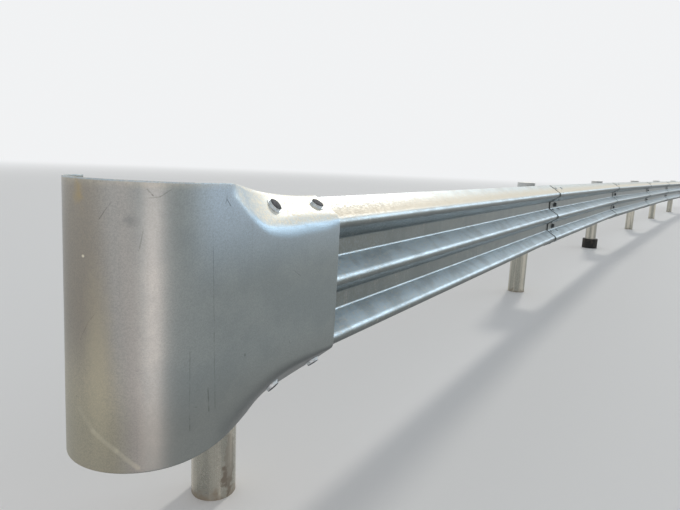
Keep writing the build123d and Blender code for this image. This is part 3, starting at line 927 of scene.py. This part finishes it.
# painted shade on the crown, painted highlight on washer and head side
shadedCrownLitWasher = {"Material": boltWasherHighlight, "Crown Material": boltCrownShade}
zinc = {"Material": boltZinc, "Crown Material": boltZinc}
fasteners("lapBoltHeads", roundBolt, lapBolt, lapHeads, zinc)
fasteners("lapBoltNuts", hexNut, lapNut, lapNuts, zinc)
fasteners("postBoltHeads", roundBolt, postBolt, postHeads, grey)
fasteners("postBoltNuts", hexNut, postNut, postNuts, zinc)
fasteners("postRearNuts", hexNut, postRearNut, postRears, zinc)
fasteners("terminalBoltHeads", roundBolt, terminalBolt, terminalPlaces(), shadedCrownLitWasher)


# camera, from the photograph

cameraSetup = {"place": (-1.2761, -1.2652, 1.1378), "yaw": 31.74, "down": 9.549, "roll": -2.546, "lens": 29.064,
               "sensor": 36, "reach": 300}


def placeCamera(setup):
    yaw, down, roll = (math.radians(setup[key]) for key in ("yaw", "down", "roll"))
    ahead = Vector((math.cos(yaw) * math.cos(down), math.sin(yaw) * math.cos(down), -math.sin(down)))
    side = Vector((math.sin(yaw), -math.cos(yaw), 0))
    below = ahead.cross(side)
    right = math.cos(roll) * side + math.sin(roll) * below
    lower = -math.sin(roll) * side + math.cos(roll) * below
    data = bpy.data.cameras.new("camera")
    data.lens = setup["lens"]
    data.sensor_width = setup["sensor"]
    data.clip_end = setup["reach"]
    camera = newObject("camera", data)
    turned = Matrix((right, -lower, -ahead)).transposed().to_4x4()
    camera.matrix_world = Matrix.Translation(setup["place"]) @ turned
    bpy.context.scene.camera = camera


placeCamera(cameraSetup)


# floor, lamps and world

studio = {
    "sunTowards": (0.811, 0.114, 0.574), "sunStrength": 0.85, "sunAngle": 7, "sunColour": (1.0, 0.97, 0.92),
    "strip": {"place": (-0.836, -0.872, 0.58), "aim": (-0.506, -0.312, 0.7), "width": 0.33, "height": 1.08,
              "power": 0.95, "spread": 110, "colour": (1.0, 0.76, 0.68)},
    "bluePanel": {"place": (60, -31, 24), "aim": (0, 0, 0.8), "width": 29, "height": 26, "power": 6400,
                  "spread": 180, "colour": (0.82, 0.92, 1.0)},
    "warmPanel": {"place": (70, 3, 26), "aim": (0, 0, 0.8), "width": 22, "height": 34, "power": 300,
                  "spread": 180, "colour": (1.0, 0.97, 0.90)},
    "skyColour": (0.84, 0.88, 0.93), "skyStrength": 0.56, "paleColour": (0.88, 0.89, 0.90),
    "floorReach": 150, "floorColour": (0.84, 0.83, 0.81), "floorRough": 0.9,
    "fadeCentre": (11, -2, 0), "fadeFrom": 17.0, "fadeTo": 60.0,
}


def addFloor():
    mesh = bpy.data.meshes.new("floor")
    size = studio["floorReach"]
    mesh.from_pydata([(-size, -size, 0), (size, -size, 0), (size, size, 0), (-size, size, 0)], [], [(0, 1, 2, 3)])
    floor = newObject("floor", mesh)
    material, tree, shader = newMaterial("paleFloor")
    setSockets(tree, shader, {"Base Color": studio["floorColour"] + (1,), "Roughness": studio["floorRough"]})
    place = objectPlace(tree)
    away = vectorValue(tree, "DISTANCE", place, studio["fadeCentre"])
    fade = remap(tree, away, studio["fadeFrom"], studio["fadeTo"])
    glow = addNode(tree, "ShaderNodeEmission", {"Color": studio["paleColour"] + (1,), "Strength": 1.0})
    mixer = addNode(tree, "ShaderNodeMixShader", {0: fade, 1: shader.outputs[0], 2: glow.outputs[0]})
    ending = next(node for node in tree.nodes if node.type == "OUTPUT_MATERIAL")
    tree.links.new(mixer.outputs[0], ending.inputs["Surface"])
    mesh.materials.append(material)


def addSun():
    data = bpy.data.lights.new("sun", "SUN")
    data.energy = studio["sunStrength"]
    data.angle = math.radians(studio["sunAngle"])
    data.color = studio["sunColour"]
    sun = newObject("sun", data)
    sun.rotation_euler = Vector(studio["sunTowards"]).to_track_quat("Z", "Y").to_euler()


def addLamp(name, setup):
    data = bpy.data.lights.new(name, "AREA")
    data.shape = "RECTANGLE"
    data.size = setup["width"]
    data.size_y = setup["height"]
    data.energy = setup["power"]
    data.color = setup["colour"]
    data.spread = math.radians(setup["spread"])
    lamp = newObject(name, data)
    lamp.location = setup["place"]
    aim = Vector(setup["place"]) - Vector(setup["aim"])
    aim.z = 0    # the panel stands upright
    lamp.rotation_euler = aim.to_track_quat("Z", "Y").to_euler()
    lamp.visible_camera = False


def addWorld():
    world = bpy.data.worlds.new("studioWorld")
    bpy.context.scene.world = world
    world.use_nodes = True
    tree = world.node_tree
    tree.nodes.clear()
    ray = addNode(tree, "ShaderNodeLightPath").outputs
    seen = calc(tree, "MAXIMUM", calc(tree, "MAXIMUM", ray["Is Camera Ray"], ray["Is Glossy Ray"]),
                ray["Is Transmission Ray"])
    soft = addNode(tree, "ShaderNodeBackground", {0: studio["skyColour"] + (1,), 1: studio["skyStrength"]})
    pale = addNode(tree, "ShaderNodeBackground", {0: studio["paleColour"] + (1,), 1: 1.0})
    mixer = addNode(tree, "ShaderNodeMixShader", {0: seen, 1: soft.outputs[0], 2: pale.outputs[0]})
    ending = addNode(tree, "ShaderNodeOutputWorld")
    tree.links.new(mixer.outputs[0], ending.inputs["Surface"])


addFloor()
addSun()
addLamp("stripLamp", studio["strip"])
addLamp("bluePanel", studio["bluePanel"])
addLamp("warmPanel", studio["warmPanel"])
addWorld()
bpy.context.scene.view_settings.view_transform = "Standard"
print("studio ready")
